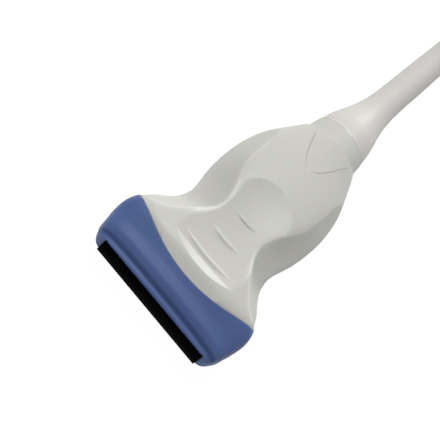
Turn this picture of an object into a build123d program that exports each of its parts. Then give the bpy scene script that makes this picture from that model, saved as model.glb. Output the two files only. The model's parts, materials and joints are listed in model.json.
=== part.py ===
from build123d import *
import os
from math import pi, radians, sqrt, tan

# Linear ultrasound transducer, lying on one broad face, with its cable and system connector.
# The probe is drawn in its own axes: X across, Y back from the nose face, Z through the handle
# from its parting plane. At the end it is moved to its place above the floor. Millimetres.

# Outline of the handle: how far back each place lies, and its half width there
head_at, head_half = 13.5, 29.7
waist_at, waist_half = 35.0, 19.0
bulb_at, bulb_half = 56.0, 21.1
rim_at, rim_half = 82.5, 12.3

# Half thickness of the handle
crest_at, crest_thick = 14.5, 13.0
waist_thick = 12.3
rim_thick = 12.1

# Skirt of the nose, with its half width less than the head's by its taper
skirt_at, skirt_thick, skirt_taper = 3.3, 7.9, 2.0
skirt_half = head_half - skirt_taper

# Nose face, narrower than the skirt by the lip, and the seam between the nose piece and the shells
face_thick, face_taper = 5.0, 2.3
face_half = skirt_half - face_taper
seam_radius = 59.0
seam_at = 10.3

# Walls and clearances
shell_wall = 2.0
fit_gap = 0.1
spigot_depth, spigot_wall, spigot_root = 4.0, 1.4, 1.5
hollow_front = 1.0
seal_at, seal_width, seal_depth = 1.4, 1.2, 0.8
dimple_at, dimple_radius = 8.1, 2.0

# Thumb scoop in each broad face, turned about a line along the probe
scoop_axis = 67.6
scoop_floor = 9.6
scoop_foot_at, scoop_foot = 18.0, 11.1
scoop_rear_at = 54.5
scoop_lead = 4.0

# Grip ribs on the scoop's floor: place back, half length
ribs = [(19.9, 11.3), (29.0, 6.5), (38.9, 5.1)]
rib_radius, rib_stand, rib_bow, rib_sink = 0.9, 0.5, 0.5, 0.1

# Finger recess in each flank: place back, half width at its foot and at the crest above it, and dish
flank_places = [(16.0, 32.0, 30.0, 0.5), (20.0, 28.4, 21.8, 0.9), (24.0, 25.2, 17.6, 1.3)]
flank_places += [(28.5, 21.3, 13.9, 1.5), (33.0, 18.7, 10.5, 1.6), (37.0, 18.6, 8.9, 1.6)]
flank_places += [(42.0, 19.1, 10.3, 1.5), (47.0, 20.1, 13.2, 1.2), (52.0, 20.5, 15.0, 0.9)]
flank_places += [(57.0, 20.6, 15.3, 0.7), (62.0, 20.1, 14.9, 0.45), (67.0, 19.3, 14.4, 0.2)]
flank_places += [(72.0, 18.2, 13.6, 0.05), (79.0, 17.5, 13.5, 0.05)]
flank_foot_z, flank_crest_z, flank_rise = 3.0, 11.5, 6.0

# Rear collar and its tongues
tongue_tip_at, tongue_end_at, tongue_half = 67.1, 78.0, 7.3
tongue_flare = 1.8
tongue_inset, tongue_thick = 0.7, 2.4
ring_radius = 11.4
collar_end_at, collar_end_radius = 89.3, 10.5
collar_bore = 5.2
sleeve_clear, neck_clear = 3.0, 1.5

# Strain relief, with its profile as shares of its length and of its taper, and the cable
boot_radius = 10.2
boot_tip_at, boot_tip_radius = 150.0, 4.5
boot_profile = [(0, 1), (0.06, 0.92), (0.12, 0.77), (0.18, 0.57), (0.25, 0.36), (0.32, 0.22)]
boot_profile += [(0.42, 0.13), (0.6, 0.09), (0.8, 0.04), (1, 0)]
cable_radius = 3.5

# Acoustic stack: the lens leaves an edge of the nose face free, and the array an edge of the lens
lens_height, face_edge = 7.8, 1.9
lens_length = 2 * (face_half - face_edge)
lens_proud, lens_crown, lens_seat = 0.6, 0.5, 0.7
layer, layer_edge = 0.3, 0.4
array_height, array_thick, lens_edge = 6.4, 0.4, 1.5
array_length = lens_length - 2 * lens_edge
backing_depth = 7.0
carrier_wall, carrier_back = 1.4, 1.5
face_wall = 1.9

# Frame between two boards, each with a row of chips under a shield can
board_width, board_length, board_thick = 25.0, 30.0, 1.2
board_front_at, board_overhang = 25.0, 1.0
frame_width, frame_thick, standoff = 31.0, 2.0, 1.4
boss_radius = 2.2
post_size, post_depth = 2.4, 3.0
post_front, post_pitch = 7.0, 16.0
chip_width, chip_length, chip_height = 14.0, 7.0, 1.0
chip_front, chip_pitch, chip_count = 6.0, 10.0, 2
can_width, can_height, can_wall = 17.0, 2.6, 0.3
can_margin = 0.8
screw_radius, screw_head, head_depth = 1.0, 1.9, 1.0
screw_inset = 2.2

# Flex circuits and coax fans, which lie just off what they run over
lay_gap = 0.1
flex_edge, flex_width, flex_thick = 2.0, 16.0, 0.25
flex_wide = array_length - 2 * flex_edge
flex_start_at, flex_lead, flex_lean, flex_lap = 7.0, 1.5, 3.0, 2.2
fan_width, fan_thick, fan_lap, fan_level = 15.0, 1.4, 2.5, 1.5
fan_end_width, fan_end_thick, fan_end_z = 5.4, 2.4, 1.5

# Clamp round the cable's jacket
clamp_at, clamp_depth = 68.0, 6.0
clamp_width, clamp_thick = 17.0, 12.0
clamp_screw_inset = 2.5
jacket_end_at = 65.0

# System connector, lying on its broad side behind the coil
connector_width, connector_depth, connector_height = 84.0, 50.0, 35.0
connector_wall, connector_corner = 2.4, 5.0
front_frame_depth, lap_depth, lap_wall = 16.0, 4.0, 1.7
gasket_thick = 1.0
post_radius, post_side, post_rear, post_fore = 3.2, 6.0, 8.0, 9.0
bolt_radius, bolt_head, bolt_head_depth = 1.2, 2.2, 2.0
bolt_recess, bolt_reach, bolt_spare = 3.0, 6.0, 2.0
block_inset, block_depth, block_recess = 3.0, 12.0, 2.0
contact_rows, contact_columns = 2, 12
contact_pitch, row_pitch = 5.6, 18.0
contact_slot, slot_height, slot_depth = 2.6, 6.4, 1.2
plate_thick, plate_edge, plate_bore_gap = 1.6, 2.0, 0.6

# Lock: shaft, key-shaped tip and knob
shaft_radius, shaft_gap, wall_bore_gap = 4.0, 0.08, 0.5
shaft_stand, shaft_seat = 8.0, 3.6
tip_radius, key_length, key_half = 3.6, 3.5, 2.2
knob_radius, knob_depth, knob_flange = 14.0, 9.5, 4.2
knob_bevel, knob_gap = 1.0, 0.4
grip_half, grip_inset = 3.2, 2.5

# Cable entry of the connector
gland_length, gland_radius, gland_tip = 20.0, 7.5, 4.8
gland_collar, gland_taper, gland_neck = 4.0, 0.6, 4.6
gland_from_end = 17.0

# Coil of put-away cable
coil_radius = 35.0
coil_lanes, coil_layers = 2, 4
coil_gap, coil_corner = 2.1, 3.1

cable_width = 2 * cable_radius
lens_front = -(lens_proud + lens_crown)
probe_middle = (boot_tip_at + lens_front) / 2

# Cutters run this far past what they cut: through a wall, and past the whole piece
over, beyond = 1.0, 60.0


def between(low, high, share):
    return low + (high - low) * share


def half_outline(at, half_width, half_thick, fullness):
    """Upper half of a cross-section, from nearly elliptic (fullness 0) to flat with round ends (1)."""
    side = between(0.4, 0.8, fullness)
    crown = (128 - 14 * side) / 112
    shoulder_x, middle_x = between(0.86, 1, fullness), between(0.3, 0.72, fullness)
    above = [(1, 0), (1, side), (shoulder_x, crown), (middle_x, crown)]
    points = [(x * half_width, z * half_thick) for x, z in above]
    points += [(-x, z) for x, z in points[::-1]]
    edges = [Bezier(*points), Line((-half_width, 0), (half_width, 0))]
    return upright_plane(0, at, 0) * make_face(edges)


def upright_plane(x, y, z):
    """A plane across the probe, with its own X across and its own Y upwards."""
    return Plane(origin=(x, y, z), x_dir=(1, 0, 0), z_dir=(0, -1, 0))


def both(half):
    """A solid above the parting plane, joined with its mirror image below it."""
    return half + mirror(half, Plane.XY)


def span(start, end, steps):
    """Sections between two named places, from shares of the way, width and thickness, and fullness."""
    return [tuple(between(a, b, s) for a, b, s in zip(start, end, step[:3])) + (step[3],) for step in steps]


# The handle's named places: (back, half width, half thickness)
skirt = (skirt_at, skirt_half, skirt_thick)
head = (head_at, head_half, crest_thick)
waist = (waist_at, waist_half, waist_thick)
bulb = (bulb_at, bulb_half, crest_thick)
rim = (rim_at, rim_half, rim_thick)
stations = span(skirt, head, [(0, 0, 0, 1.0), (0.35, 0.52, 0.3, 1.0), (0.7, 0.87, 0.58, 1.0)])
stations += span(head, waist, [(0.05, 0.01, 0.05, 0.95), (0.3, 0.18, 0.1, 0.85), (0.52, 0.43, 0.2, 0.65)])
stations += span(head, waist, [(0.72, 0.78, 0.5, 0.4), (1, 1, 1, 0.2)])
stations += span(waist, bulb, [(0.5, 0.66, 0.7, 0.6), (1, 1, 1, 0.7)])
stations += span(bulb, rim, [(0.33, 0.12, 0.2, 0.55), (0.55, 0.33, 0.45, 0.35), (0.78, 0.65, 0.75, 0.15)])
stations += span(bulb, rim, [(1, 1, 1, 0.0)])


def upper_form(inset=0.0):
    """The upper half of the handle's outer form, with every section drawn in by the inset."""
    return loft([half_outline(y, a - inset, b - inset, full) for y, a, b, full in stations])


def scoop_height(at):
    """Height of the scoop's floor at its middle: two arcs that meet at the waist, its lowest place."""
    far, high = (scoop_foot_at, scoop_foot) if at < waist_at else (scoop_rear_at, crest_thick)
    rise = high - scoop_floor
    radius = ((far - waist_at) ** 2 + rise**2) / (2 * rise)
    return scoop_floor + radius - sqrt(radius**2 - (at - waist_at) ** 2)


def scoop(lift=0.0):
    """What the thumb scoop takes from the upper face. The lift lowers its floor."""
    front, rear = crest_at - scoop_lead, scoop_rear_at + 2 * scoop_lead
    wall_slope = (crest_thick - scoop_foot) / (scoop_foot_at - crest_at)

    def floor_arc(low, high):
        places = (low, (low + high) / 2, high)
        return ThreePointArc(*[(at, scoop_height(at) - lift) for at in places])

    wall = Line((front, crest_thick + scoop_lead * wall_slope - lift), (scoop_foot_at, scoop_foot - lift))
    floor = [floor_arc(scoop_foot_at, waist_at), floor_arc(waist_at, rear)]
    roof = Polyline(floor[1] @ 1, (rear, scoop_axis), (front, scoop_axis), wall @ 0)
    face = Plane.YZ * make_face([wall] + floor + roof.edges())
    return revolve(face, Axis((0, 0, scoop_axis), (0, 1, 0)))


def flank(lift=0.0):
    """What the finger recesses take from both sides. The lift moves their walls inwards."""
    low, middle, high = -over, (flank_foot_z + flank_crest_z) / 2, flank_crest_z + flank_rise
    sections = []
    for at, foot, crest, dish in flank_places:
        slope = (crest - foot) / (flank_crest_z - flank_foot_z)
        inwards = lift * sqrt(1 + slope**2)
        wall = [(foot + (z - flank_foot_z) * slope - inwards, z) for z in (low, middle, high)]
        wall[1] = (wall[1][0] - dish, middle)
        outside = Polyline(wall[2], (2 * head_half, high), (2 * head_half, low), wall[0])
        sections.append(upright_plane(0, at, 0) * make_face([ThreePointArc(*wall)] + outside.edges()))
    side = loft(sections)
    return side + mirror(side, Plane.YZ)


def inner_form(inset):
    """What the upper half leaves inside a wall as thick as the inset."""
    return upper_form(inset) - scoop(inset) - flank(inset)


def rib(at, half_length):
    """A low ridge across the scoop, whose ends run out into the floor."""
    floor = scoop_height(at)
    reach = scoop_axis - floor
    middle = floor + rib_stand - rib_radius
    end = floor + half_length**2 / (2 * reach) - rib_radius - rib_sink
    path = ThreePointArc((-half_length, at + rib_bow, end), (0, at, middle), (half_length, at + rib_bow, end))
    start = Plane(origin=path @ 0, z_dir=path % 0)
    return sweep(start * Circle(rib_radius), path)


def tongue(gap=0.0):
    """The upright prism of a shell's rear notch, or of the tongue in it: a parabola that flares out."""
    tip, half = tongue_tip_at + gap, tongue_half - gap
    steepness = 2 * (tongue_end_at - tip) / half
    corner = half + (rim_at - tongue_end_at) / steepness
    mouth = corner + tongue_flare
    bow = Bezier((-half, tongue_end_at), (0, 2 * tip - tongue_end_at), (half, tongue_end_at))
    right = Bezier((half, tongue_end_at), (corner, rim_at), (mouth, rim_at))
    left = Bezier((-half, tongue_end_at), (-corner, rim_at), (-mouth, rim_at))
    behind = Polyline(right @ 1, (mouth, rim_at + over), (-mouth, rim_at + over), left @ 1)
    return extrude(make_face([bow, right, left] + behind.edges()), beyond)


def upright(radius):
    """The upright cylinder that parts the nose piece from the shells."""
    return Pos(0, seam_at + seam_radius, 0) * Cylinder(radius, 2 * beyond)


def box(x0, x1, y0, y1, z0, z1):
    return Pos((x0 + x1) / 2, (y0 + y1) / 2, (z0 + z1) / 2) * Box(x1 - x0, y1 - y0, z1 - z0)


def window(half_x, y0, y1, half_z):
    """A cutter through the middle of an upper half, from y0 to y1."""
    return box(-half_x, half_x, y0, y1, -over, half_z)


def turned(points, at_x=0.0, at_z=0.0):
    """A solid turned about a line along Y, from (place back, radius) points."""
    ends = [(points[0][0], 0)] + points + [(points[-1][0], 0)]
    plane = Plane(origin=(at_x, 0, at_z), x_dir=(0, 1, 0), z_dir=(1, 0, 0))
    return revolve(plane * make_face(Polyline(*ends, close=True)), Axis((at_x, 0, at_z), (0, 1, 0)))


def rod(radius, y0, y1, at_x=0.0, at_z=0.0):
    return Pos(at_x, (y0 + y1) / 2, at_z) * Rot(90, 0, 0) * Cylinder(radius, y1 - y0)


def peg(radius, x, y, z0, z1):
    return Pos(x, y, (z0 + z1) / 2) * Cylinder(radius, z1 - z0)


def screw(x, y, tip, seat):
    """A small screw that stands upright, with its head above the seat."""
    return peg(screw_radius, x, y, tip, seat) + peg(screw_head, x, y, seat, seat + head_depth)


pieces = {}


def pair(name, piece):
    """An upper piece, and its mirror image below the parting plane."""
    pieces[name + "_upper"] = piece
    pieces[name + "_lower"] = mirror(piece, Plane.XY)


# Handle: the two half shells, with their scoops, finger recesses, ribs and notches
outer = upper_form()
shell = outer - scoop() - flank()
for at, half_length in ribs:
    shell += rib(at, half_length)
shell = shell & upright(seam_radius)
shell -= inner_form(shell_wall)
shell -= tongue()
axis_height = shell.bounding_box().max.Z
to_floor = Location((0, -probe_middle, axis_height))

# Posts inside each shell trap the board frame between them
post_x = (frame_width - post_size) / 2
posts = Part()
for x in (-post_x, post_x):
    for y in (board_front_at + post_front, board_front_at + post_front + post_pitch):
        posts += box(x - post_size / 2, x + post_size / 2, y - post_depth / 2, y + post_depth / 2,
                     frame_thick / 2, crest_thick)
shell += posts & inner_form(shell_wall / 2)
pieces["handle_shell_top"] = shell
pieces["handle_shell_bottom"] = mirror(shell, Plane.XY)

# Nose piece: a stepped lip, the skirt, and a spigot that enters the shells
lip_steps = span((0.0, face_half, face_thick), skirt, [
    (0, 0, 0, 1.0), (0.27, 0.48, 0.21, 1.0), (0.55, 0.74, 0.34, 1.0), (0.79, 0.89, 0.69, 1.0), (1, 1, 1, 1.0)])
lip = loft([half_outline(*step) for step in lip_steps])
nose = lip + (outer - upright(seam_radius)) & window(beyond, -over, seam_radius, beyond)
spigot_form = inner_form(shell_wall + fit_gap) & upright(seam_radius + spigot_depth / 8)
nose += spigot_form - upright(seam_radius - spigot_depth)
hollow_at = skirt_at + hollow_front
nose -= upper_form(shell_wall) & window(beyond, hollow_at, seam_at - spigot_root, beyond)
nose -= inner_form(shell_wall + fit_gap + spigot_wall) & window(beyond, hollow_at + fit_gap, beyond, beyond)
carrier_half = array_length / 2 + carrier_wall
carrier_thick = array_height / 2 + carrier_wall
nose -= window(carrier_half + fit_gap, face_wall, seam_at, carrier_thick + fit_gap)
nose -= window(lens_length / 2, -over, face_wall + over, lens_height / 2)

# Nose seal, in a groove round the spigot
groove = upright(seam_radius - seal_at) - upright(seam_radius - seal_at - seal_width)
seal = (inner_form(shell_wall) & groove) - inner_form(shell_wall + seal_depth)
seal = seal & window(beyond, 0, beyond, beyond)
nose = both(nose - seal)
pieces["nose_seal"] = both(seal)
nose -= Pos(head_half, dimple_at, 0) * Sphere(dimple_radius)
pieces["nose_piece"] = nose

# Acoustic stack: lens, matching layers, array, backing, and the metal carrier round them
edge_z = lens_height / 2
lens_side = [
    Line((lens_seat, -edge_z), (-lens_proud, -edge_z)),
    ThreePointArc((-lens_proud, -edge_z), (lens_front, 0), (-lens_proud, edge_z)),
    Line((-lens_proud, edge_z), (lens_seat, edge_z)),
    Line((lens_seat, edge_z), (lens_seat, -edge_z)),
]
pieces["acoustic_lens"] = extrude(Plane.YZ * make_face(lens_side), lens_length / 2, both=True)
array_x, array_z = array_length / 2, array_height / 2
layer_x, layer_z = array_x + layer_edge, array_z + layer_edge
at = lens_seat
for name, half_x, half_z, depth in (
        ("matching_layer_outer", layer_x, layer_z, layer), ("matching_layer_inner", layer_x, layer_z, layer),
        ("piezo_array", array_x, array_z, array_thick), ("backing_block", array_x, array_z, backing_depth)):
    pieces[name] = box(-half_x, half_x, at, at + depth, -half_z, half_z)
    at += depth
backing_end = at
carrier_end = backing_end + carrier_back
carrier = box(-carrier_half, carrier_half, face_wall, carrier_end, -carrier_thick, carrier_thick)
carrier -= box(-array_x, array_x, 0, backing_end, -array_z, array_z)
pieces["array_carrier"] = carrier

# Board frame, boards, cans and screws
board_rear_at = board_front_at + board_length
board_low = frame_thick / 2 + standoff
board_top = board_low + board_thick
half_board, half_frame = board_width / 2, frame_width / 2
frame = box(-half_frame, half_frame, board_front_at, board_rear_at, -frame_thick / 2, frame_thick / 2)
board = box(-half_board, half_board, board_front_at - board_overhang, board_rear_at + board_overhang,
            board_low, board_top)
screw_places = [(x, y) for x in (screw_inset - half_board, half_board - screw_inset)
                for y in (board_front_at + screw_inset, board_rear_at - screw_inset)]
for number, (x, y) in enumerate(screw_places, 1):
    frame += peg(boss_radius, x, y, -board_low, board_low)
    frame -= peg(screw_radius, x, y, -board_low, board_low)
    board -= peg(screw_radius + fit_gap, x, y, board_low - over, board_top + over)
    pieces["board_screw_" + str(number)] = screw(x, y, -board_top, board_top)
pieces["board_frame"] = frame
chip_starts = [board_front_at + chip_front + chip_pitch * row for row in range(chip_count)]
for y in chip_starts:
    board += box(-chip_width / 2, chip_width / 2, y, y + chip_length, board_top, board_top + chip_height)
can_y0, can_y1 = chip_starts[0] - can_margin, chip_starts[-1] + chip_length + can_margin
can = box(-can_width / 2, can_width / 2, can_y0, can_y1, board_top, board_top + can_height)
can -= box(can_wall - can_width / 2, can_width / 2 - can_wall, can_y0 + can_wall, can_y1 - can_wall,
           board_top - over, board_top + can_height - can_wall)
pair("interface_board", board)
pair("shield_can", can)

# Flex circuits: wide along the carrier's sides, then narrower to the boards
lead_z, land_z = carrier_thick + lay_gap, board_top + lay_gap
bend_at, land_at = carrier_end + flex_lead, board_front_at - flex_lean
flex_end_at = board_front_at - board_overhang + flex_lap
run = [(flex_start_at, lead_z), (bend_at, lead_z), (land_at, land_z), (flex_end_at, land_z)]
sheet = run + [(y, z + flex_thick) for y, z in run[::-1]]
flex = extrude(Plane.YZ * make_face(Polyline(*sheet, close=True)), flex_wide / 2, both=True)
flex_side = [(flex_wide / 2, flex_start_at), (flex_wide / 2, bend_at)]
flex_side += [(flex_width / 2, land_at), (flex_width / 2, flex_end_at)]
flex_plan = Polyline(*flex_side, *[(-x, y) for x, y in flex_side[::-1]], close=True)
pair("flex_circuit", flex & extrude(make_face(flex_plan), beyond))


# Coax fans from the boards' rear ends to the jacket
def fan_section(at, width, thick, z):
    return upright_plane(0, at, z) * RectangleRounded(width, thick, thick * 0.45)


fan_at = board_rear_at + board_overhang - fan_lap
fan_z = board_top + lay_gap + fan_thick / 2
pair("coax_fan", loft([
    fan_section(fan_at, fan_width, fan_thick, fan_z),
    fan_section(fan_at + fan_lap + fan_level, between(fan_width, fan_end_width, 0.2), fan_thick, fan_z),
    fan_section(jacket_end_at - fit_gap, fan_end_width, fan_end_thick, fan_end_z),
]))

# Clamp round the jacket, in two halves, with its two screws
clamp_end = clamp_at + clamp_depth
clamp_half = clamp_width / 2
clamp = box(-clamp_half, clamp_half, clamp_at, clamp_end, fit_gap, clamp_thick / 2)
clamp -= rod(cable_radius, clamp_at - over, clamp_end + over)
for number, x in enumerate((clamp_screw_inset - clamp_half, clamp_half - clamp_screw_inset), 1):
    y = clamp_at + clamp_depth / 2
    clamp -= peg(screw_radius, x, y, -clamp_thick, clamp_thick)
    pieces["clamp_screw_" + str(number)] = screw(x, y, -clamp_thick / 2, clamp_thick / 2)
pair("cable_clamp", clamp)

# Rear collar: a sleeve inside the shells' rear, a tongue in each notch, and the ring behind the rim
sleeve = upper_form(shell_wall + fit_gap) & window(beyond, clamp_end + sleeve_clear, rim_at + over, beyond)
tongues = (upper_form(tongue_inset) & tongue(fit_gap)) - upper_form(tongue_inset + tongue_thick)
collar = both(sleeve + tongues) + turned([(rim_at, ring_radius), (collar_end_at, collar_end_radius)])
collar -= rod(collar_bore, tongue_tip_at - over, collar_end_at + over)
pieces["rear_collar"] = collar

# Strain relief: a soft tapered boot with a neck inside the collar, round the cable's jacket
boot_length = boot_tip_at - collar_end_at
edge = Spline(*[(collar_end_at + share * boot_length, between(boot_tip_radius, boot_radius, taper))
                for share, taper in boot_profile])
base = Polyline(edge @ 0, (collar_end_at, 0), (boot_tip_at, 0), edge @ 1)
boot_plane = Plane(origin=(0, 0, 0), x_dir=(0, 1, 0), z_dir=(1, 0, 0))
boot = revolve(boot_plane * make_face(edge.edges() + base.edges()), Axis.Y)
boot += rod(collar_bore - fit_gap, clamp_end + neck_clear, collar_end_at + over)
boot -= rod(cable_radius, clamp_end, boot_tip_at + over)
pieces["strain_relief"] = boot
pieces["cable_jacket"] = rod(cable_radius, jacket_end_at, boot_tip_at)

# Cable: from the boot's tip down to the floor and round into the coil
outer_lane = coil_radius + (coil_lanes - 1) * cable_radius
floor_z = cable_radius - axis_height
lead_points = [(0, 0, 0), (0, 15, 0), (-3, 34, -6.5), (-14, 53, floor_z), (-14, 75.2, floor_z)]
lead_points = [(x, boot_tip_at + y, z) for x, y, z in lead_points]
into_coil = Vector(*lead_points[3]) - Vector(*lead_points[2])
last_turn = radians(into_coil.get_angle(Vector(0, 1, 0)))
coil_x = lead_points[3][0] + outer_lane
coil_y = lead_points[3][1] + outer_lane * tan(last_turn / 2)


def route_radii(points):
    radii = []
    for a, b, c in zip(points, points[1:], points[2:]):
        into, out = Vector(*b) - Vector(*a), Vector(*c) - Vector(*b)
        half_turn = radians(into.get_angle(out)) / 2
        radii.append(0.45 * min(into.length, out.length) / tan(half_turn))
    return radii


def cord(points):
    radii = route_radii(points)
    path = FilletPolyline(*points, radius=radii) if radii else Line(*points)
    start = Plane(origin=path @ 0, z_dir=path % 0)
    solid = sweep(start * Circle(cable_radius), path)
    print("cord radii", [round(r, 1) for r in radii], "length", round(path.length, 1),
          "volume share", round(solid.volume / (path.length * pi * cable_radius**2), 4))
    return solid


pieces["cable"] = cord(lead_points)
bundle_width, bundle_height = coil_lanes * cable_width, coil_layers * cable_width
coil_plane = upright_plane(coil_x + coil_radius, coil_y, bundle_height / 2 - axis_height)
coil_face = coil_plane * RectangleRounded(bundle_width, bundle_height, coil_corner)
pieces["cable_coil"] = revolve(coil_face, Axis((coil_x, coil_y, 0), (0, 0, 1)))

# Connector, behind the coil
rear_at = coil_y + coil_radius + bundle_width / 2 + coil_gap + knob_depth + knob_gap
contact_at = rear_at + connector_depth
frame_at = contact_at - front_frame_depth
gland_x = coil_x - outer_lane
gland_z = bundle_height - cable_radius - axis_height
connector_x = gland_x - gland_from_end + connector_width / 2
shaft_z = connector_height / 2 - axis_height
low, high = -axis_height, connector_height - axis_height
x0, x1 = connector_x - connector_width / 2, connector_x + connector_width / 2
wall_end = rear_at + connector_wall


def connector_bar(inset, y_low, y_high):
    """A block along Y with the connector's outline, drawn in by the inset."""
    corner = max(connector_corner - inset, connector_corner / 5)
    profile = RectangleRounded(connector_width - 2 * inset, connector_height - 2 * inset, corner)
    return extrude(upright_plane(connector_x, y_high, shaft_z) * profile, y_high - y_low)


pieces["cable_tail"] = cord([(gland_x, coil_y, gland_z), (gland_x, rear_at - gland_length, gland_z)])

# Housing: two halves that part at mid-height, held by four screws from below
housing = connector_bar(0, rear_at, frame_at) - connector_bar(connector_wall, wall_end, frame_at + over)
housing -= rod(shaft_radius + wall_bore_gap, rear_at - over, wall_end + over, connector_x, shaft_z)
housing -= rod(gland_neck + fit_gap, rear_at - over, wall_end + over, gland_x, gland_z)
bolt_places = [(x, y) for x in (x0 + post_side, x1 - post_side) for y in (rear_at + post_rear, frame_at - post_fore)]
for x, y in bolt_places:
    housing += peg(post_radius, x, y, low + connector_wall, high - connector_wall)
lower = housing & box(x0 - over, x1 + over, rear_at - over, frame_at + over, low - over, shaft_z)
upper = housing & box(x0 - over, x1 + over, rear_at - over, frame_at + over, shaft_z, high + over)
for number, (x, y) in enumerate(bolt_places, 1):
    lower -= peg(bolt_head + 2 * fit_gap, x, y, low - over, low + bolt_recess)
    lower -= peg(bolt_radius + fit_gap, x, y, low, shaft_z + over)
    upper -= peg(bolt_radius + fit_gap / 2, x, y, shaft_z - over, shaft_z + bolt_reach + bolt_spare)
    bolt = peg(bolt_head, x, y, low + bolt_recess - bolt_head_depth, low + bolt_recess)
    bolt += peg(bolt_radius, x, y, low + bolt_recess - over, shaft_z + bolt_reach)
    pieces["connector_screw_" + str(number)] = bolt
pieces["connector_housing_lower"] = lower
pieces["connector_housing_upper"] = upper

# Front frame with the step that enters the housing, and the gasket on the step
lap = connector_wall + fit_gap
step = connector_bar(lap, frame_at - lap_depth, frame_at)
step -= connector_bar(lap + lap_wall, frame_at - lap_depth - over, frame_at + over)
front = connector_bar(0, frame_at, contact_at) - connector_bar(block_inset, frame_at - over, contact_at + over)
pieces["connector_frame"] = front + step
gasket_end = frame_at - lap_depth
gasket = connector_bar(lap, gasket_end - gasket_thick, gasket_end)
gasket -= connector_bar(lap + lap_wall, gasket_end - gasket_thick - over, gasket_end + over)
pieces["connector_gasket"] = gasket

# Contact block with its rows of contact slots, and the board behind it
block_front = contact_at - block_recess
block_rear = block_front - block_depth
block = connector_bar(block_inset + fit_gap, block_rear, block_front)
block -= rod(shaft_radius + shaft_gap, block_rear - over, block_front + over, connector_x, shaft_z)
for row in range(contact_rows):
    z = shaft_z + (row - (contact_rows - 1) / 2) * row_pitch
    for column in range(contact_columns):
        x = connector_x + (column - (contact_columns - 1) / 2) * contact_pitch
        block -= box(x - contact_slot / 2, x + contact_slot / 2, block_front - slot_depth, block_front + over,
                     z - slot_height / 2, z + slot_height / 2)
pieces["contact_block"] = block
plate = connector_bar(block_inset + plate_edge, block_rear - plate_thick, block_rear)
plate -= rod(shaft_radius + plate_bore_gap, block_rear - plate_thick - over, block_rear + over,
             connector_x, shaft_z)
pieces["connector_board"] = plate

# Lock: a shaft through the connector, with a flat-sided tip, and the knob on its rear end
shaft_tip_at = contact_at + shaft_stand
knob_front = rear_at - knob_gap
shaft = rod(shaft_radius, knob_front - shaft_seat, block_front, connector_x, shaft_z)
shaft += rod(tip_radius, block_front, shaft_tip_at, connector_x, shaft_z)
key_at = shaft_tip_at - key_length
for z0, z1 in ((-tip_radius - over, -key_half), (key_half, tip_radius + over)):
    shaft -= box(connector_x - shaft_radius, connector_x + shaft_radius, key_at, shaft_tip_at + over,
                 shaft_z + z0, shaft_z + z1)
pieces["lock_shaft"] = shaft
flange_at = knob_front - knob_flange
knob = turned([(flange_at, knob_radius - knob_bevel), (flange_at + knob_bevel, knob_radius),
               (knob_front - knob_bevel / 2, knob_radius), (knob_front, knob_radius - knob_bevel / 2)],
              connector_x, shaft_z)
grip_x = knob_radius - grip_inset
knob += box(connector_x - grip_x, connector_x + grip_x, knob_front - knob_depth, flange_at + knob_bevel,
            shaft_z - grip_half, shaft_z + grip_half)
knob -= rod(shaft_radius, knob_front - shaft_seat, rear_at + over, connector_x, shaft_z)
pieces["lock_knob"] = knob

# Cable entry: a tapered boot with a neck through the rear wall
gland = turned([(rear_at - gland_length, gland_tip), (rear_at - gland_collar, gland_radius - gland_taper),
                (rear_at, gland_radius)], gland_x, gland_z)
gland += rod(gland_neck, rear_at - over, wall_end + 2 * over, gland_x, gland_z)
pieces["connector_boot"] = gland

# Write each piece at its place above the floor
os.makedirs("parts", exist_ok=True)
for name, piece in pieces.items():
    export_step(to_floor * piece, "parts/" + name + ".step")
whole = Compound(children=[to_floor * piece for piece in pieces.values()]).bounding_box()
print("whole box", [round(v, 2) for v in whole.min], [round(v, 2) for v in whole.max])
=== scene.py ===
import bpy
import bmesh
import json
import math
from mathutils import Matrix, Vector


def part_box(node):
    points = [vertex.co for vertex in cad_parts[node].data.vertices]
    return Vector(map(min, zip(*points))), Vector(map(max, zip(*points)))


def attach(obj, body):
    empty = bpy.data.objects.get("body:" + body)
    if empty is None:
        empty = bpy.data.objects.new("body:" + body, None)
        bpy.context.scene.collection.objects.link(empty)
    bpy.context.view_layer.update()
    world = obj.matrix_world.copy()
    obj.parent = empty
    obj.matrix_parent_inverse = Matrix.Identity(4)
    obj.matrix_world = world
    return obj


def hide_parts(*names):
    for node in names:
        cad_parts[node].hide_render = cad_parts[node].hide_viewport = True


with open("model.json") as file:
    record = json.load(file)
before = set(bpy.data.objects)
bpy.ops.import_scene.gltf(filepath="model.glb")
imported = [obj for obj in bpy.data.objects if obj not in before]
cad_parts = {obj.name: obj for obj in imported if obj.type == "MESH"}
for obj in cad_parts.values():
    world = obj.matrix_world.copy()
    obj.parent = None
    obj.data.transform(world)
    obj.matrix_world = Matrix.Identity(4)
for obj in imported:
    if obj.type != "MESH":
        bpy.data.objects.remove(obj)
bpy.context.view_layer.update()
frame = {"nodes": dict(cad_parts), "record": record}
nodes = frame["nodes"]
print("frame loaded,", len(nodes), "nodes")

mm = 0.001
scene = bpy.context.scene


def centreOf(node):
    low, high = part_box(node)
    return (low + high) / 2


# Camera: a long lens, close to the plane through the middle of the probe, rolled in the picture
cameraSetup = {
    "lens": 178.75,
    "sensor": 36.0,
    "distance": 0.7,
    "tilt": 27.5,                 # degrees from straight above, towards the nose
    "roll": 39.83,                # degrees
    "lookAt": (-5.67 * mm, -37.01 * mm, 13.0 * mm),
}


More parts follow.
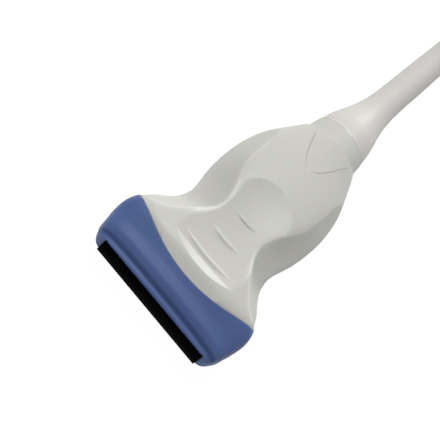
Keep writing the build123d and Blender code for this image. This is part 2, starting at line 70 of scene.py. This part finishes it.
def makeCamera(setup):
    tilt, roll = math.radians(setup["tilt"]), math.radians(setup["roll"])
    along = Vector((0, math.cos(tilt), math.sin(tilt)))
    across = Vector((1, 0, 0))
    back = Vector((0, -math.sin(tilt), math.cos(tilt)))
    right = math.cos(roll) * along + math.sin(roll) * across
    up = math.sin(roll) * along - math.cos(roll) * across
    data = bpy.data.cameras.new("photoCamera")
    data.lens = setup["lens"]
    data.sensor_width = setup["sensor"]
    camera = bpy.data.objects.new("photoCamera", data)
    scene.collection.objects.link(camera)
    turn = Matrix((right, up, back)).transposed().to_4x4()
    camera.matrix_world = Matrix.Translation(Vector(setup["lookAt"]) + setup["distance"] * back) @ turn
    scene.camera = camera


makeCamera(cameraSetup)

# Cable: out of the strain relief, down to the floor and round into a neat coil
cableSetup = {
    "diameter": 7.0 * mm,
    "length": 1.64,
    # first points, in mm from the strain relief's end; one without a height lies on the floor
    "lead": [(0, 0, 0), (0, 15, 0), (-3, 34, -6.5), (-14, 53, None)],
    "coilRadius": 35.0 * mm,      # middle of the coil's two lanes
    "pointsPerTurn": 12,
    "pointsPerLane": 11,          # one fewer than a turn, so that no crossing meets the next
    "turns": 7,
    # lane (0 outer, 1 inner) and layer, in the order that the cable fills them
    "lanes": [(0, 0), (1, 0), (1, 1), (0, 1), (0, 2), (1, 2), (1, 3), (0, 3)],
}
exitPoint = centreOf("strain_relief")
exitPoint.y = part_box("strain_relief")[1].y


def cableRoute(setup):
    radius = setup["diameter"] / 2
    points = []
    for x, y, z in setup["lead"]:
        height = radius if z is None else exitPoint.z + z * mm
        points.append((exitPoint.x + x * mm, exitPoint.y + y * mm, height))
    middle = centreOf("cable_coil")
    step = 2 * math.pi / setup["pointsPerTurn"]
    for k in range(setup["turns"] * setup["pointsPerTurn"]):
        lane, layer = setup["lanes"][k // setup["pointsPerLane"]]
        laneRadius = setup["coilRadius"] + (radius if lane == 0 else -radius)
        corner = laneRadius / math.cos(step / 2)
        angle = math.pi - step / 2 - k * step
        height = radius + layer * setup["diameter"]
        points.append((middle.x + corner * math.cos(angle), middle.y + corner * math.sin(angle), height))
    boot = centreOf("connector_boot")
    points.append((boot.x, middle.y + corner * math.sin(step / 2), boot.z))
    points.append((boot.x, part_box("connector_boot")[0].y, boot.z))
    return points


def makeCable(name, setup):
    data = bpy.data.curves.new(name, "CURVE")
    data.dimensions = "3D"
    data.bevel_depth = 1.0        # times each point's radius, so that the curve's own box is right
    data.bevel_resolution = 5
    data.resolution_u = 6
    data.use_fill_caps = True
    spline = data.splines.new("NURBS")
    points = cableRoute(setup)
    spline.points.add(len(points) - 1)
    for point, place in zip(spline.points, points):
        point.co = (*place, 1)
        point.radius = setup["diameter"] / 2
    spline.order_u = 3
    spline.use_endpoint_u = True
    cable = bpy.data.objects.new(name, data)
    scene.collection.objects.link(cable)
    return cable


cable = makeCable("probeCable", cableSetup)
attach(cable, "probe")
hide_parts("cable", "cable_coil", "cable_tail")
print("cable laid")


# Small helpers for modelling
def addBox(name, low, high):
    bpy.ops.object.select_all(action="DESELECT")
    low, high = Vector(low), Vector(high)
    bpy.ops.mesh.primitive_cube_add(size=1, location=(low + high) / 2)
    piece = bpy.context.object
    piece.name = name
    piece.scale = high - low
    bpy.ops.object.transform_apply(location=True, rotation=True, scale=True)
    return piece


def pickEdges(piece, test):
    # leaves only the edges selected whose two ends pass the test
    bpy.ops.object.mode_set(mode="EDIT")
    bpy.ops.mesh.select_mode(type="EDGE")
    bpy.ops.mesh.select_all(action="DESELECT")
    mesh = bmesh.from_edit_mesh(piece.data)
    for edge in mesh.edges:
        edge.select_set(test(edge.verts[0].co, edge.verts[1].co))
    bmesh.update_edit_mesh(piece.data)


def pickFaces(piece, test):
    # leaves only the faces selected whose normal and middle pass the test
    bpy.ops.object.mode_set(mode="EDIT")
    bpy.ops.mesh.select_mode(type="FACE")
    bpy.ops.mesh.select_all(action="DESELECT")
    mesh = bmesh.from_edit_mesh(piece.data)
    for face in mesh.faces:
        face.select_set(test(face.normal, face.calc_center_median()))
    bmesh.update_edit_mesh(piece.data)


def finishPiece(piece, modifiers, smoothAngle=40):
    # modifiers are (kind, settings) and are applied in turn
    bpy.ops.object.mode_set(mode="OBJECT")
    for kind, settings in modifiers:
        modifier = piece.modifiers.new(kind.title(), kind)
        for key, value in settings.items():
            setattr(modifier, key, value)
        bpy.ops.object.modifier_apply(modifier=modifier.name)
    bpy.ops.object.shade_smooth_by_angle(angle=math.radians(smoothAngle))


# Contact springs: one blade, bowed out of its slot, copied to every slot of the contact block
contactSetup = {
    "columns": 12, "pitch": 5.6 * mm,
    "rows": 2, "rowPitch": 18.0 * mm,
    "width": 1.5 * mm, "height": 5.4 * mm, "thickness": 0.3 * mm,
    "slotDepth": 1.2 * mm,
    "bow": 0.55 * mm, "bowCuts": 7,
    "rounding": 0.07 * mm,
}


def makeContacts(name, setup):
    middle = centreOf("lock_shaft")
    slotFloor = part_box("contact_block")[1].y - setup["slotDepth"]
    halfWidth, halfHeight = setup["width"] / 2, setup["height"] / 2
    blade = addBox(name, (middle.x - halfWidth, slotFloor, middle.z - halfHeight),
                   (middle.x + halfWidth, slotFloor + setup["thickness"], middle.z + halfHeight))
    pickEdges(blade, lambda a, b: abs(a.z - b.z) > halfHeight)
    bpy.ops.mesh.subdivide(number_cuts=setup["bowCuts"])
    bpy.ops.mesh.select_mode(type="VERT")
    mesh = bmesh.from_edit_mesh(blade.data)
    for vert in mesh.verts:
        share = (vert.co.z - middle.z) / halfHeight
        vert.co.y += setup["bow"] * (1 - share**2)
    bmesh.update_edit_mesh(blade.data)
    finishPiece(blade, [("BEVEL", {"width": setup["rounding"], "segments": 2, "limit_method": "ANGLE"})])
    copies = []
    for row in range(setup["rows"]):
        for column in range(setup["columns"]):
            shift = Vector(((column - (setup["columns"] - 1) / 2) * setup["pitch"], 0,
                            (row - (setup["rows"] - 1) / 2) * setup["rowPitch"]))
            copy = bpy.data.objects.new(name, blade.data.copy())
            copy.data.transform(Matrix.Translation(shift))
            scene.collection.objects.link(copy)
            copies.append(copy)
    bpy.data.objects.remove(blade)
    bpy.ops.object.select_all(action="DESELECT")
    for copy in copies:
        copy.select_set(True)
    bpy.context.view_layer.objects.active = copies[0]
    bpy.ops.object.join()
    copies[0].name = name
    return copies[0]


contacts = makeContacts("contactSprings", contactSetup)
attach(contacts, "probe")

# Tie: a strap of hook-and-loop tape round the coil's turns
strapSetup = {
    "width": 14.0 * mm, "thickness": 0.9 * mm,
    "clear": 0.1 * mm,
    "corner": 3.6 * mm, "cornerSegments": 7,
    "rounding": 0.2 * mm, "roundingAngle": 50,    # degrees, from which an edge is rounded
}


def makeStrap(name, setup):
    low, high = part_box("cable_coil")
    middle = (low + high) / 2
    outer = high.x + setup["clear"] + setup["thickness"]
    inner = middle.x + cableSetup["coilRadius"] - cableSetup["diameter"] - setup["clear"] - setup["thickness"]
    top = high.z + setup["clear"] + setup["thickness"]
    halfWidth = setup["width"] / 2
    strap = addBox(name, (inner, middle.y - halfWidth, 0.0), (outer, middle.y + halfWidth, top))
    pickEdges(strap, lambda a, b: abs(a.y - b.y) > halfWidth)
    bpy.ops.mesh.bevel(offset=setup["corner"], segments=setup["cornerSegments"], affect="EDGES")
    pickFaces(strap, lambda normal, place: abs(normal.y) > 0.9)      # the box's two open sides
    bpy.ops.mesh.delete(type="FACE")
    finishPiece(strap, [
        ("SOLIDIFY", {"thickness": setup["thickness"], "offset": -1.0, "use_even_offset": True}),
        ("BEVEL", {"width": setup["rounding"], "segments": 2, "limit_method": "ANGLE",
                   "angle_limit": math.radians(setup["roundingAngle"])}),
    ])
    return strap


strap = makeStrap("coilStrap", strapSetup)
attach(strap, "probe")

# Pointer on the lock knob: a white inlay at one end of its grip
pointerSetup = {
    "gripHalf": 11.5 * mm,        # from the knob's axis to the end of its grip
    "inset": 1.6 * mm,
    "length": 7.0 * mm, "width": 1.4 * mm, "proud": 0.15 * mm,
    "cornerShare": 0.45, "cornerSegments": 5,     # corners as a share of the width
    "rounding": 0.06 * mm,
}


def makePointer(name, setup):
    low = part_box("lock_knob")[0]
    middle = centreOf("lock_shaft")
    end = middle.x + setup["gripHalf"] - setup["inset"]
    halfWidth = setup["width"] / 2
    pointer = addBox(name, (end - setup["length"], low.y - setup["proud"], middle.z - halfWidth),
                     (end, low.y + setup["proud"], middle.z + halfWidth))
    pickEdges(pointer, lambda a, b: abs(a.y - b.y) > setup["proud"])
    corner = setup["width"] * setup["cornerShare"]
    bpy.ops.mesh.bevel(offset=corner, segments=setup["cornerSegments"], affect="EDGES")
    finishPiece(pointer, [("BEVEL", {"width": setup["rounding"], "segments": 2, "limit_method": "ANGLE"})])
    return pointer


pointer = makePointer("knobPointer", pointerSetup)
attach(pointer, "lock")
print("contacts, strap and pointer made")


# Materials. Patterns read Object coordinates, in metres, so 1 / (size in mm * mm) is a pattern of that size
def linear(hexColour):
    parts = [int(hexColour[i:i + 2], 16) / 255 for i in (1, 3, 5)]
    return tuple(p / 12.92 if p <= 0.04045 else ((p + 0.055) / 1.055) ** 2.4 for p in parts) + (1.0,)


def addNode(tree, kind, settings=None, links=None):
    # settings and links are by socket name or number; a setting that is no socket is the node's own property
    node = tree.nodes.new("ShaderNode" + kind)
    for name, value in (settings or {}).items():
        if isinstance(name, int) or name in node.inputs:
            node.inputs[name].default_value = value
        else:
            setattr(node, name, value)
    for name, source in (links or {}).items():
        tree.links.new(source, node.inputs[name])
    return node


def newMaterial(name):
    material = bpy.data.materials.new(name)
    material.use_nodes = True
    material.node_tree.nodes.clear()
    return material, material.node_tree


def addSurface(tree, settings, links):
    # the shader and the output that every material ends with
    shader = addNode(tree, "BsdfPrincipled", settings, links)
    addNode(tree, "OutputMaterial", {}, {"Surface": shader.outputs["BSDF"]})


def lineMask(tree, place, axis, at, halfWidth):
    # 1 where the coordinate on the axis equals "at", falling to 0 at half a width to either side
    split = addNode(tree, "SeparateXYZ", {}, {"Vector": place})
    off = addNode(tree, "Math", {"operation": "SUBTRACT", 1: at}, {0: split.outputs[axis]}).outputs[0]
    away = addNode(tree, "Math", {"operation": "ABSOLUTE"}, {0: off}).outputs[0]
    return addNode(tree, "MapRange", {"From Max": halfWidth, "To Min": 1.0, "To Max": 0.0,
                                      "interpolation_type": "SMOOTHSTEP"}, {"Value": away}).outputs[0]


# The handle's crests run outside a line that narrows from the first to the last rib
crestSetup = {
    "front": -54.0 * mm, "rear": -40.0 * mm,      # first and last rib, along the probe
    "wide": 12.5 * mm, "narrow": 7.6 * mm,        # the line's distance from the middle at these two
    "fade": 1.6 * mm,                             # width over which the crest's wider rounding and painted highlight come in
    "end": -12.0 * mm, "notch": -4.0 * mm,        # places along the probe between which it goes out again
}


def crestRoundingAndHighlight(tree, place, setup):
    # 1 round the handle's crests, and 0 on what lies between them, such as ribs and notch; it widens the
    # rounding there and brings in the painted highlight
    split = addNode(tree, "SeparateXYZ", {}, {"Vector": place})
    aside = addNode(tree, "Math", {"operation": "ABSOLUTE"}, {0: split.outputs["X"]}).outputs[0]
    inner = addNode(tree, "MapRange", {"From Min": setup["front"], "From Max": setup["rear"],
                                       "To Min": setup["wide"], "To Max": setup["narrow"]},
                    {"Value": split.outputs["Y"]}).outputs[0]
    outside = addNode(tree, "Math", {"operation": "SUBTRACT"}, {0: aside, 1: inner}).outputs[0]
    onCrest = addNode(tree, "MapRange", {"From Max": setup["fade"], "interpolation_type": "SMOOTHSTEP"},
                      {"Value": outside}).outputs[0]
    before = addNode(tree, "MapRange", {"From Min": setup["end"], "From Max": setup["notch"],
                                        "To Min": 1.0, "To Max": 0.0, "interpolation_type": "SMOOTHSTEP"},
                     {"Value": split.outputs["Y"]}).outputs[0]
    return addNode(tree, "Math", {"operation": "MULTIPLY"}, {0: onCrest, 1: before}).outputs[0]


# What a moulded part has unless its look says otherwise; cloud and rounding are in mm
mouldedLook = {
    "cloud": 22, "rounding": 0.5, "specular": 0.5,
    "glossSwing": 0.04, "polish": 0.1,            # roughness that the grain varies, and that wear takes off
    "edgeMaskFrom": 0.995, "edgeMaskFull": 0.85,          # cosine between the rounded and the true normal
}


def mouldedPlastic(name, ownLook):
    # Injection moulded: a faint flow cloud in the colour, an eroded grain, round edges that handling
    # polishes, in an edge tone that is wear on most parts, painted shade on the collar and a painted
    # highlight on the handle's crests
    look = {**mouldedLook, **ownLook}
    material, tree = newMaterial(name)
    place = addNode(tree, "TexCoord").outputs["Object"]
    cloud = addNode(tree, "TexNoise", {"Scale": 1 / (look["cloud"] * mm), "Detail": 3.0},
                    {"Vector": place}).outputs["Fac"]
    grain = addNode(tree, "TexNoise", {"Scale": 1 / (look["grain"] * mm), "Detail": 2.0, "Roughness": 0.6},
                    {"Vector": place}).outputs["Fac"]
    tone = addNode(tree, "Mix", {"data_type": "RGBA", 6: linear(look["colour"]), 7: linear(look["tint"])},
                   {0: cloud}).outputs[2]

    # edges: their own rounding and tone, which is wear on most parts and painted shade on the collar; on the
    # handle's crests a wider rounding and a painted highlight tone
    edgeTone = linear(look.get("edge", look["colour"]))
    radiusLink, toneLink = {}, {}
    # on the handle's crests: a wider rounding, and a pale painted highlight tone that stands in for light
    # caught along them
    if "crest" in look:
        share = crestRoundingAndHighlight(tree, place, crestSetup)
        radiusLink["Radius"] = addNode(tree, "MapRange", {"To Min": look["rounding"] * mm,
                                                          "To Max": look["crest"] * mm},
                                       {"Value": share}).outputs[0]
        toneLink[7] = addNode(tree, "Mix", {"data_type": "RGBA", 6: edgeTone, 7: linear(look["crestTone"])},
                              {0: share}).outputs[2]
    rounded = addNode(tree, "Bevel", {"samples": 8, "Radius": look["rounding"] * mm},
                      radiusLink).outputs["Normal"]
    face = addNode(tree, "NewGeometry").outputs["Normal"]
    alike = addNode(tree, "VectorMath", {"operation": "DOT_PRODUCT"}, {0: rounded, 1: face}).outputs["Value"]
    # edge mask: wear on most parts, painted shade on the collar's edges, painted highlight on the handle's
    # crests
    wearAndPaintedEdge = addNode(tree, "MapRange", {"From Min": look["edgeMaskFrom"], "From Max": look["edgeMaskFull"]},
                   {"Value": alike}).outputs[0]
    tone = addNode(tree, "Mix", {"data_type": "RGBA", 7: edgeTone}, {0: wearAndPaintedEdge, 6: tone, **toneLink}).outputs[2]

    gloss = addNode(tree, "MapRange", {"To Min": look["roughness"] - look["glossSwing"],
                                       "To Max": look["roughness"] + look["glossSwing"]},
                    {"Value": grain}).outputs[0]
    polish = addNode(tree, "Math", {"operation": "MULTIPLY", 1: look["polish"]}, {0: wearAndPaintedEdge}).outputs[0]
    gloss = addNode(tree, "Math", {"operation": "SUBTRACT"}, {0: gloss, 1: polish}).outputs[0]
    bump = addNode(tree, "Bump", {"Strength": 0.6, "Distance": look["relief"] * mm},
                   {"Height": grain, "Normal": rounded}).outputs["Normal"]
    # seams darken the colour along a line; the nose's lip line paints shade there and the boot's line paints
    # a highlight
    if "groove" in look:
        groove = look["groove"]
        line = lineMask(tree, place, groove["axis"], groove["at"], groove["halfWidth"] * mm)
        bump = addNode(tree, "Bump", {"Strength": 1.0, "Distance": groove["depth"] * mm, "invert": True},
                       {"Height": line, "Normal": bump}).outputs["Normal"]
        lineColourShare = addNode(tree, "Math", {"operation": "MULTIPLY", 1: groove["strength"]}, {0: line}).outputs[0]
        tone = addNode(tree, "Mix", {"data_type": "RGBA", 7: linear(groove["colour"])},
                       {0: lineColourShare, 6: tone}).outputs[2]
    addSurface(tree, {"IOR": look["ior"], "Specular IOR Level": look["specular"]},
               {"Base Color": tone, "Roughness": gloss, "Normal": bump})
    return material


metalLook = {"cloud": 9, "rounding": 0.2, "stretch": (1, 1, 1), "glossSwing": 0.08}


def workedMetal(name, ownLook):
    # Metal with the marks of how it was made, drawn out along the axes that "stretch" leaves at 1
    look = {**metalLook, **ownLook}
    material, tree = newMaterial(name)
    place = addNode(tree, "TexCoord").outputs["Object"]
    stretched = addNode(tree, "Mapping", {"Scale": look["stretch"]}, {"Vector": place}).outputs[0]
    marks = addNode(tree, "TexNoise", {"Scale": 1 / (look["grain"] * mm), "Detail": 3.0},
                    {"Vector": stretched}).outputs["Fac"]
    cloud = addNode(tree, "TexNoise", {"Scale": 1 / (look["cloud"] * mm), "Detail": 2.0},
                    {"Vector": place}).outputs["Fac"]
    tone = addNode(tree, "Mix", {"data_type": "RGBA", 6: linear(look["colour"]), 7: linear(look["tint"])},
                   {0: cloud}).outputs[2]
    gloss = addNode(tree, "MapRange", {"To Min": look["roughness"] - look["glossSwing"],
                                       "To Max": look["roughness"] + look["glossSwing"]},
                    {"Value": marks}).outputs[0]
    rounded = addNode(tree, "Bevel", {"samples": 4, "Radius": look["rounding"] * mm}).outputs["Normal"]
    bump = addNode(tree, "Bump", {"Strength": 0.5, "Distance": look["relief"] * mm},
                   {"Height": marks, "Normal": rounded}).outputs["Normal"]
    addSurface(tree, {"Metallic": 1.0}, {"Base Color": tone, "Roughness": gloss, "Normal": bump})
    return material


waveLength = 0.314                # of a wave texture whose scale is 1, in metres
bandLook = {"wander": 0.0, "grain": 0.8, "height": 0.03, "glossSwing": 0.08}


def bandedSheet(name, ownLook):
    # Thin conductors, diced elements or wires: bands of a second colour across one axis, slightly raised
    look = {**bandLook, **ownLook}
    material, tree = newMaterial(name)
    place = addNode(tree, "TexCoord").outputs["Object"]
    bands = addNode(tree, "TexWave", {"bands_direction": look["across"], "Distortion": look["wander"],
                                      "Scale": waveLength / (look["pitch"] * mm)},
                    {"Vector": place}).outputs["Fac"]
    sharp = addNode(tree, "MapRange", {"From Min": 0.4, "From Max": 0.6}, {"Value": bands}).outputs[0]
    grain = addNode(tree, "TexNoise", {"Scale": 1 / (look["grain"] * mm), "Detail": 2.0},
                    {"Vector": place}).outputs["Fac"]
    tone = addNode(tree, "Mix", {"data_type": "RGBA", 6: linear(look["colour"]), 7: linear(look["band"])},
                   {0: sharp}).outputs[2]
    gloss = addNode(tree, "MapRange", {"To Min": look["roughness"] - look["glossSwing"],
                                       "To Max": look["roughness"] + look["glossSwing"]},
                    {"Value": grain}).outputs[0]
    bump = addNode(tree, "Bump", {"Strength": 0.6, "Distance": look["height"] * mm},
                   {"Height": sharp}).outputs["Normal"]
    addSurface(tree, {"IOR": 1.55}, {"Base Color": tone, "Roughness": gloss, "Normal": bump})
    return material


def wovenTape(name, look):
    # Nylon hook-and-loop tape: two crossing thread directions and a soft fuzz
    material, tree = newMaterial(name)
    place = addNode(tree, "TexCoord").outputs["Object"]
    threads = []
    for direction in ("Y", "DIAGONAL"):
        threads.append(addNode(tree, "TexWave", {"bands_direction": direction, "Distortion": look["wander"],
                                                 "Scale": waveLength / (look["thread"] * mm)},
                               {"Vector": place}).outputs["Fac"])
    both = addNode(tree, "Math", {"operation": "MULTIPLY"}, {0: threads[0], 1: threads[1]}).outputs[0]
    tone = addNode(tree, "Mix", {"data_type": "RGBA", 6: linear(look["colour"]), 7: linear(look["tint"])},
                   {0: both}).outputs[2]
    bump = addNode(tree, "Bump", {"Strength": 0.8, "Distance": look["relief"] * mm},
                   {"Height": both}).outputs["Normal"]
    addSurface(tree, {"IOR": 1.53, "Roughness": 0.85, "Sheen Weight": 0.4, "Sheen Roughness": 0.5},
               {"Base Color": tone, "Normal": bump})
    return material


# A line lies where the coordinate on its axis is "at"; sizes in mm, strength is the share of its colour. The
# seams are dark joints; the nose's lip line is painted shade and the boot's line a painted highlight
seamLook = {"axis": "Z", "halfWidth": 0.14, "depth": 0.08, "strength": 0.55, "colour": "#6E6C66"}
handleSeam = {"at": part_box("handle_shell_bottom")[1].z, **seamLook}
housingSeam = {"at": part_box("connector_housing_lower")[1].z, **seamLook}
lipWidth = 2.0 * mm               # from the nose's front to the middle of the hollow behind its lip
# painted shade: a darker blue line round the nose in the hollow behind its lip, where shade falls
lipHollowShade = {"at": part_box("nose_piece")[0].y + lipWidth, "axis": "Y", "halfWidth": 1.3, "depth": 0.08,
             "strength": 0.65, "colour": "#26365F"}
# painted highlight: a near-white line on the boot where it meets the collar, standing in for light caught by
# the collar's rear edge
bootLineHighlight = {"at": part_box("rear_collar")[1].y, "axis": "Y", "halfWidth": 0.8, "depth": 0.03,
            "strength": 0.9, "colour": "#F6F5F2"}

finishes = {
    # silicone rubber, cast: dull deep black that reflects next to nothing
    "lens_rubber": mouldedPlastic("siliconeRubberCastBlack", {
        "colour": "#010101", "tint": "#020202", "roughness": 0.7, "ior": 1.41, "specular": 0.01,
        "grain": 0.6, "relief": 0.006, "rounding": 0.3}),
    # ABS, moulded satin: slate blue, with a line of painted shade in the hollow behind its lip
    "nose_plastic": mouldedPlastic("absMouldedSlateBlue", {
        "colour": "#5A6DA0", "tint": "#445A88", "edge": "#5F72A4", "roughness": 0.5, "ior": 1.54,
        "specular": 0.14, "grain": 0.5, "relief": 0.01, "rounding": 0.6, "groove": lipHollowShade}),
    # ABS, moulded with a fine eroded texture: warm light grey, soft highlights, and a pale painted highlight
    # along the crests
    "handle_plastic": mouldedPlastic("absMouldedLightGrey", {
        "colour": "#C3C2BC", "tint": "#BFBEB8", "edge": "#C6C5BF", "roughness": 0.48, "ior": 1.54,
        "specular": 0.4, "grain": 0.45, "relief": 0.012, "rounding": 0.15,
        "crest": 4.0, "crestTone": "#E9E8E4", "groove": handleSeam}),
    # ABS, moulded smooth: plain grey with painted shade at its edges, which draws the tongue's outline where
    # the shell's notch edge would shade it
    "collar_plastic": mouldedPlastic("absMouldedCollarGrey", {
        "colour": "#C4C3BE", "tint": "#C0BFBA", "edge": "#9B9A95", "roughness": 0.46, "ior": 1.54,
        "specular": 0.25, "grain": 0.5, "relief": 0.008, "rounding": 1.3}),
    # thermoplastic elastomer, overmoulded: warm white, matte, slightly waxy, with a painted highlight line at
    # the collar, where the collar's rear edge catches the light
    "boot_rubber": mouldedPlastic("tpeOvermouldedGrey", {
        "colour": "#CCCAC6", "tint": "#C8C6C1", "edge": "#D6D4D0", "roughness": 0.5, "ior": 1.5,
        "specular": 0.4, "grain": 0.5, "relief": 0.01, "rounding": 0.6, "groove": bootLineHighlight}),
    # flexible PVC, extruded: matte grey that shows the wires' lay as slow waves
    "cable_sheath": mouldedPlastic("pvcExtrudedSheath", {
        "colour": "#C6C5C1", "tint": "#BEBDB8", "roughness": 0.45, "ior": 1.53, "cloud": 14,
        "grain": 2.4, "relief": 0.08}),
    # ABS, moulded with a coarse texture: light grey that scatters the light, paler at its edges
    "connector_plastic": mouldedPlastic("absMouldedConnectorGrey", {
        "colour": "#C2C1BB", "tint": "#BBBAB4", "edge": "#CFCEC9", "roughness": 0.52, "ior": 1.54,
        "grain": 0.7, "relief": 0.03, "rounding": 0.7, "groove": housingSeam}),
    # aluminium, die cast and blasted: soft grey metal
    "frame_metal": workedMetal("aluminiumDieCast", {
        "colour": "#B9BBBE", "tint": "#ABADB0", "roughness": 0.42, "grain": 0.5, "relief": 0.03,
        "rounding": 0.5}),
    # glass-filled PBT, moulded: near black with a paler cloud of fibres close to the surface
    "contact_plastic": mouldedPlastic("pbtMouldedBlack", {
        "colour": "#1A1A1C", "tint": "#222225", "edge": "#303033", "roughness": 0.45, "ior": 1.57,
        "cloud": 2, "grain": 0.6, "relief": 0.02, "rounding": 0.25}),
    # polyamide, moulded: dark grey with a leathery hand-worn grip
    "knob_plastic": mouldedPlastic("polyamideMouldedDarkGrey", {
        "colour": "#3C3E42", "tint": "#36383C", "edge": "#55575C", "roughness": 0.5, "ior": 1.53,
        "grain": 0.8, "relief": 0.04, "rounding": 0.8}),
    # stainless steel, turned: fine rings round the shaft
    "steel": workedMetal("stainlessTurned", {
        "colour": "#C8C6C2", "tint": "#B8B6B2", "roughness": 0.28, "grain": 1.2, "stretch": (1, 9, 1),
        "relief": 0.01}),
    # EPDM rubber, moulded: dull black
    "seal_rubber": mouldedPlastic("epdmMouldedBlack", {
        "colour": "#1C1C1D", "tint": "#252526", "roughness": 0.65, "ior": 1.5, "grain": 0.6,
        "relief": 0.02}),
    # PBT, moulded: satin charcoal
    "inner_plastic": mouldedPlastic("pbtMouldedCharcoal", {
        "colour": "#2A2B2D", "tint": "#242527", "edge": "#3A3B3E", "roughness": 0.5, "ior": 1.57,
        "grain": 0.6, "relief": 0.02}),
    # aluminium, machined: bright, with fine parallel cutter marks
    "carrier_metal": workedMetal("aluminiumMachined", {
        "colour": "#D0D0D2", "tint": "#C2C2C4", "roughness": 0.3, "grain": 0.9, "stretch": (1, 6, 6),
        "relief": 0.01}),
    # tinned steel sheet, folded: a warm, slightly cloudy shine
    "shield_metal": workedMetal("steelTinned", {
        "colour": "#C9C7C0", "tint": "#BAB8B0", "roughness": 0.34, "grain": 1.4, "relief": 0.01}),
    # glass epoxy laminate under green solder resist: copper tracks show as lighter lines
    "board_laminate": bandedSheet("laminateSolderResistGreen", {
        "colour": "#1F5C3A", "band": "#2B7A4C", "across": "X", "pitch": 0.9, "wander": 3.0,
        "roughness": 0.35}),
    # polyimide film with etched copper tracks: amber, with fine brighter lines
    "flex_film": bandedSheet("polyimideCopperTracks", {
        "colour": "#B06A1E", "band": "#D08A3E", "across": "X", "pitch": 0.5, "roughness": 0.3}),
    # lead zirconate titanate, diced by a saw: cream elements with darker cuts between them
    "ceramic": bandedSheet("piezoCeramicDiced", {
        "colour": "#D2C6AA", "band": "#8F866F", "across": "X", "pitch": 0.4, "roughness": 0.6}),
    # epoxy filled with metal oxide, cast: speckled dark grey
    "filled_resin": mouldedPlastic("epoxyFilledCast", {
        "colour": "#3E3F42", "tint": "#5A5B5E", "roughness": 0.55, "ior": 1.55, "cloud": 0.6,
        "grain": 0.5, "relief": 0.02}),
    # enamelled micro-coax wires, fanned out: copper-brown strands side by side
    "wire_bundle": bandedSheet("coaxWiresFanned", {
        "colour": "#C79A6A", "band": "#E2CDB0", "across": "X", "pitch": 0.45, "wander": 1.0,
        "roughness": 0.4}),
}
for entry in frame["record"]["subparts"]:
    mesh = nodes[entry["node"]].data
    mesh.materials.clear()
    mesh.materials.append(finishes[entry["material_slot"]])

# phosphor bronze, stamped and gold plated: a tight yellow shine
goldPlate = workedMetal("bronzeGoldPlated", {
    "colour": "#E6BE6A", "tint": "#DDB25C", "roughness": 0.24, "grain": 0.8, "stretch": (6, 6, 1),
    "relief": 0.005})
# nylon, woven and napped: near black that takes the light softly
tape = wovenTape("nylonHookAndLoop", {
    "colour": "#1E1F22", "tint": "#34363A", "thread": 0.6, "wander": 0.6, "relief": 0.12})
# acrylic paint, filled into the knob: clean white
inlay = mouldedPlastic("acrylicInlayWhite", {
    "colour": "#E8E8E6", "tint": "#E2E2DF", "roughness": 0.35, "ior": 1.49, "grain": 0.5,
    "relief": 0.005, "rounding": 0.1})
sceneLooks = ((cable, finishes["cable_sheath"]), (contacts, goldPlate), (strap, tape), (pointer, inlay))
for piece, material in sceneLooks:
    piece.data.materials.clear()
    piece.data.materials.append(material)
print("materials set")

# Floor, world and lights
stageSetup = {
    "floorSize": 6.0,
    "floorGrey": 0.05, "floorGlow": 0.98,         # the glow keeps the floor white, almost without a shadow
    "world": 0.12,
    "top": {"from": (-0.2, 0.1, 1.0), "distance": 1.2, "size": 0.4, "power": 12.0},
    "rear": {"from": (-0.07, 1.0, 0.18), "distance": 1.3, "size": 0.3, "power": 8.3},
}


def makeFloor(name, setup):
    # Matte white paint, lit from within
    bpy.ops.object.select_all(action="DESELECT")
    bpy.ops.mesh.primitive_plane_add(size=setup["floorSize"], location=(0, 0, 0))
    floor = bpy.context.object
    floor.name = name
    material, tree = newMaterial("floorPaintWhite")
    grey = setup["floorGrey"]
    addSurface(tree, {"Base Color": (grey, grey, grey, 1), "Roughness": 0.9,
                      "Emission Color": (1, 1, 1, 1), "Emission Strength": setup["floorGlow"]}, {})
    floor.data.materials.append(material)
    return floor


def softLight(name, setup):
    data = bpy.data.lights.new(name, "AREA")
    data.shape = "DISK"
    data.size = setup["size"]
    data.energy = setup["power"]
    light = bpy.data.objects.new(name, data)
    scene.collection.objects.link(light)
    direction = Vector(setup["from"]).normalized()
    light.location = Vector(cameraSetup["lookAt"]) + direction * setup["distance"]
    light.rotation_euler = direction.to_track_quat("Z", "Y").to_euler()


makeFloor("studioFloor", stageSetup)
scene.view_settings.view_transform = "Standard"
scene.world = bpy.data.worlds.new("studioWorld")
scene.world.use_nodes = True
background = scene.world.node_tree.nodes["Background"].inputs
background["Color"].default_value = (1, 1, 1, 1)
background["Strength"].default_value = stageSetup["world"]
softLight("topLight", stageSetup["top"])
softLight("rearLight", stageSetup["rear"])
print("stage and lights set")

bpy.context.view_layer.update()
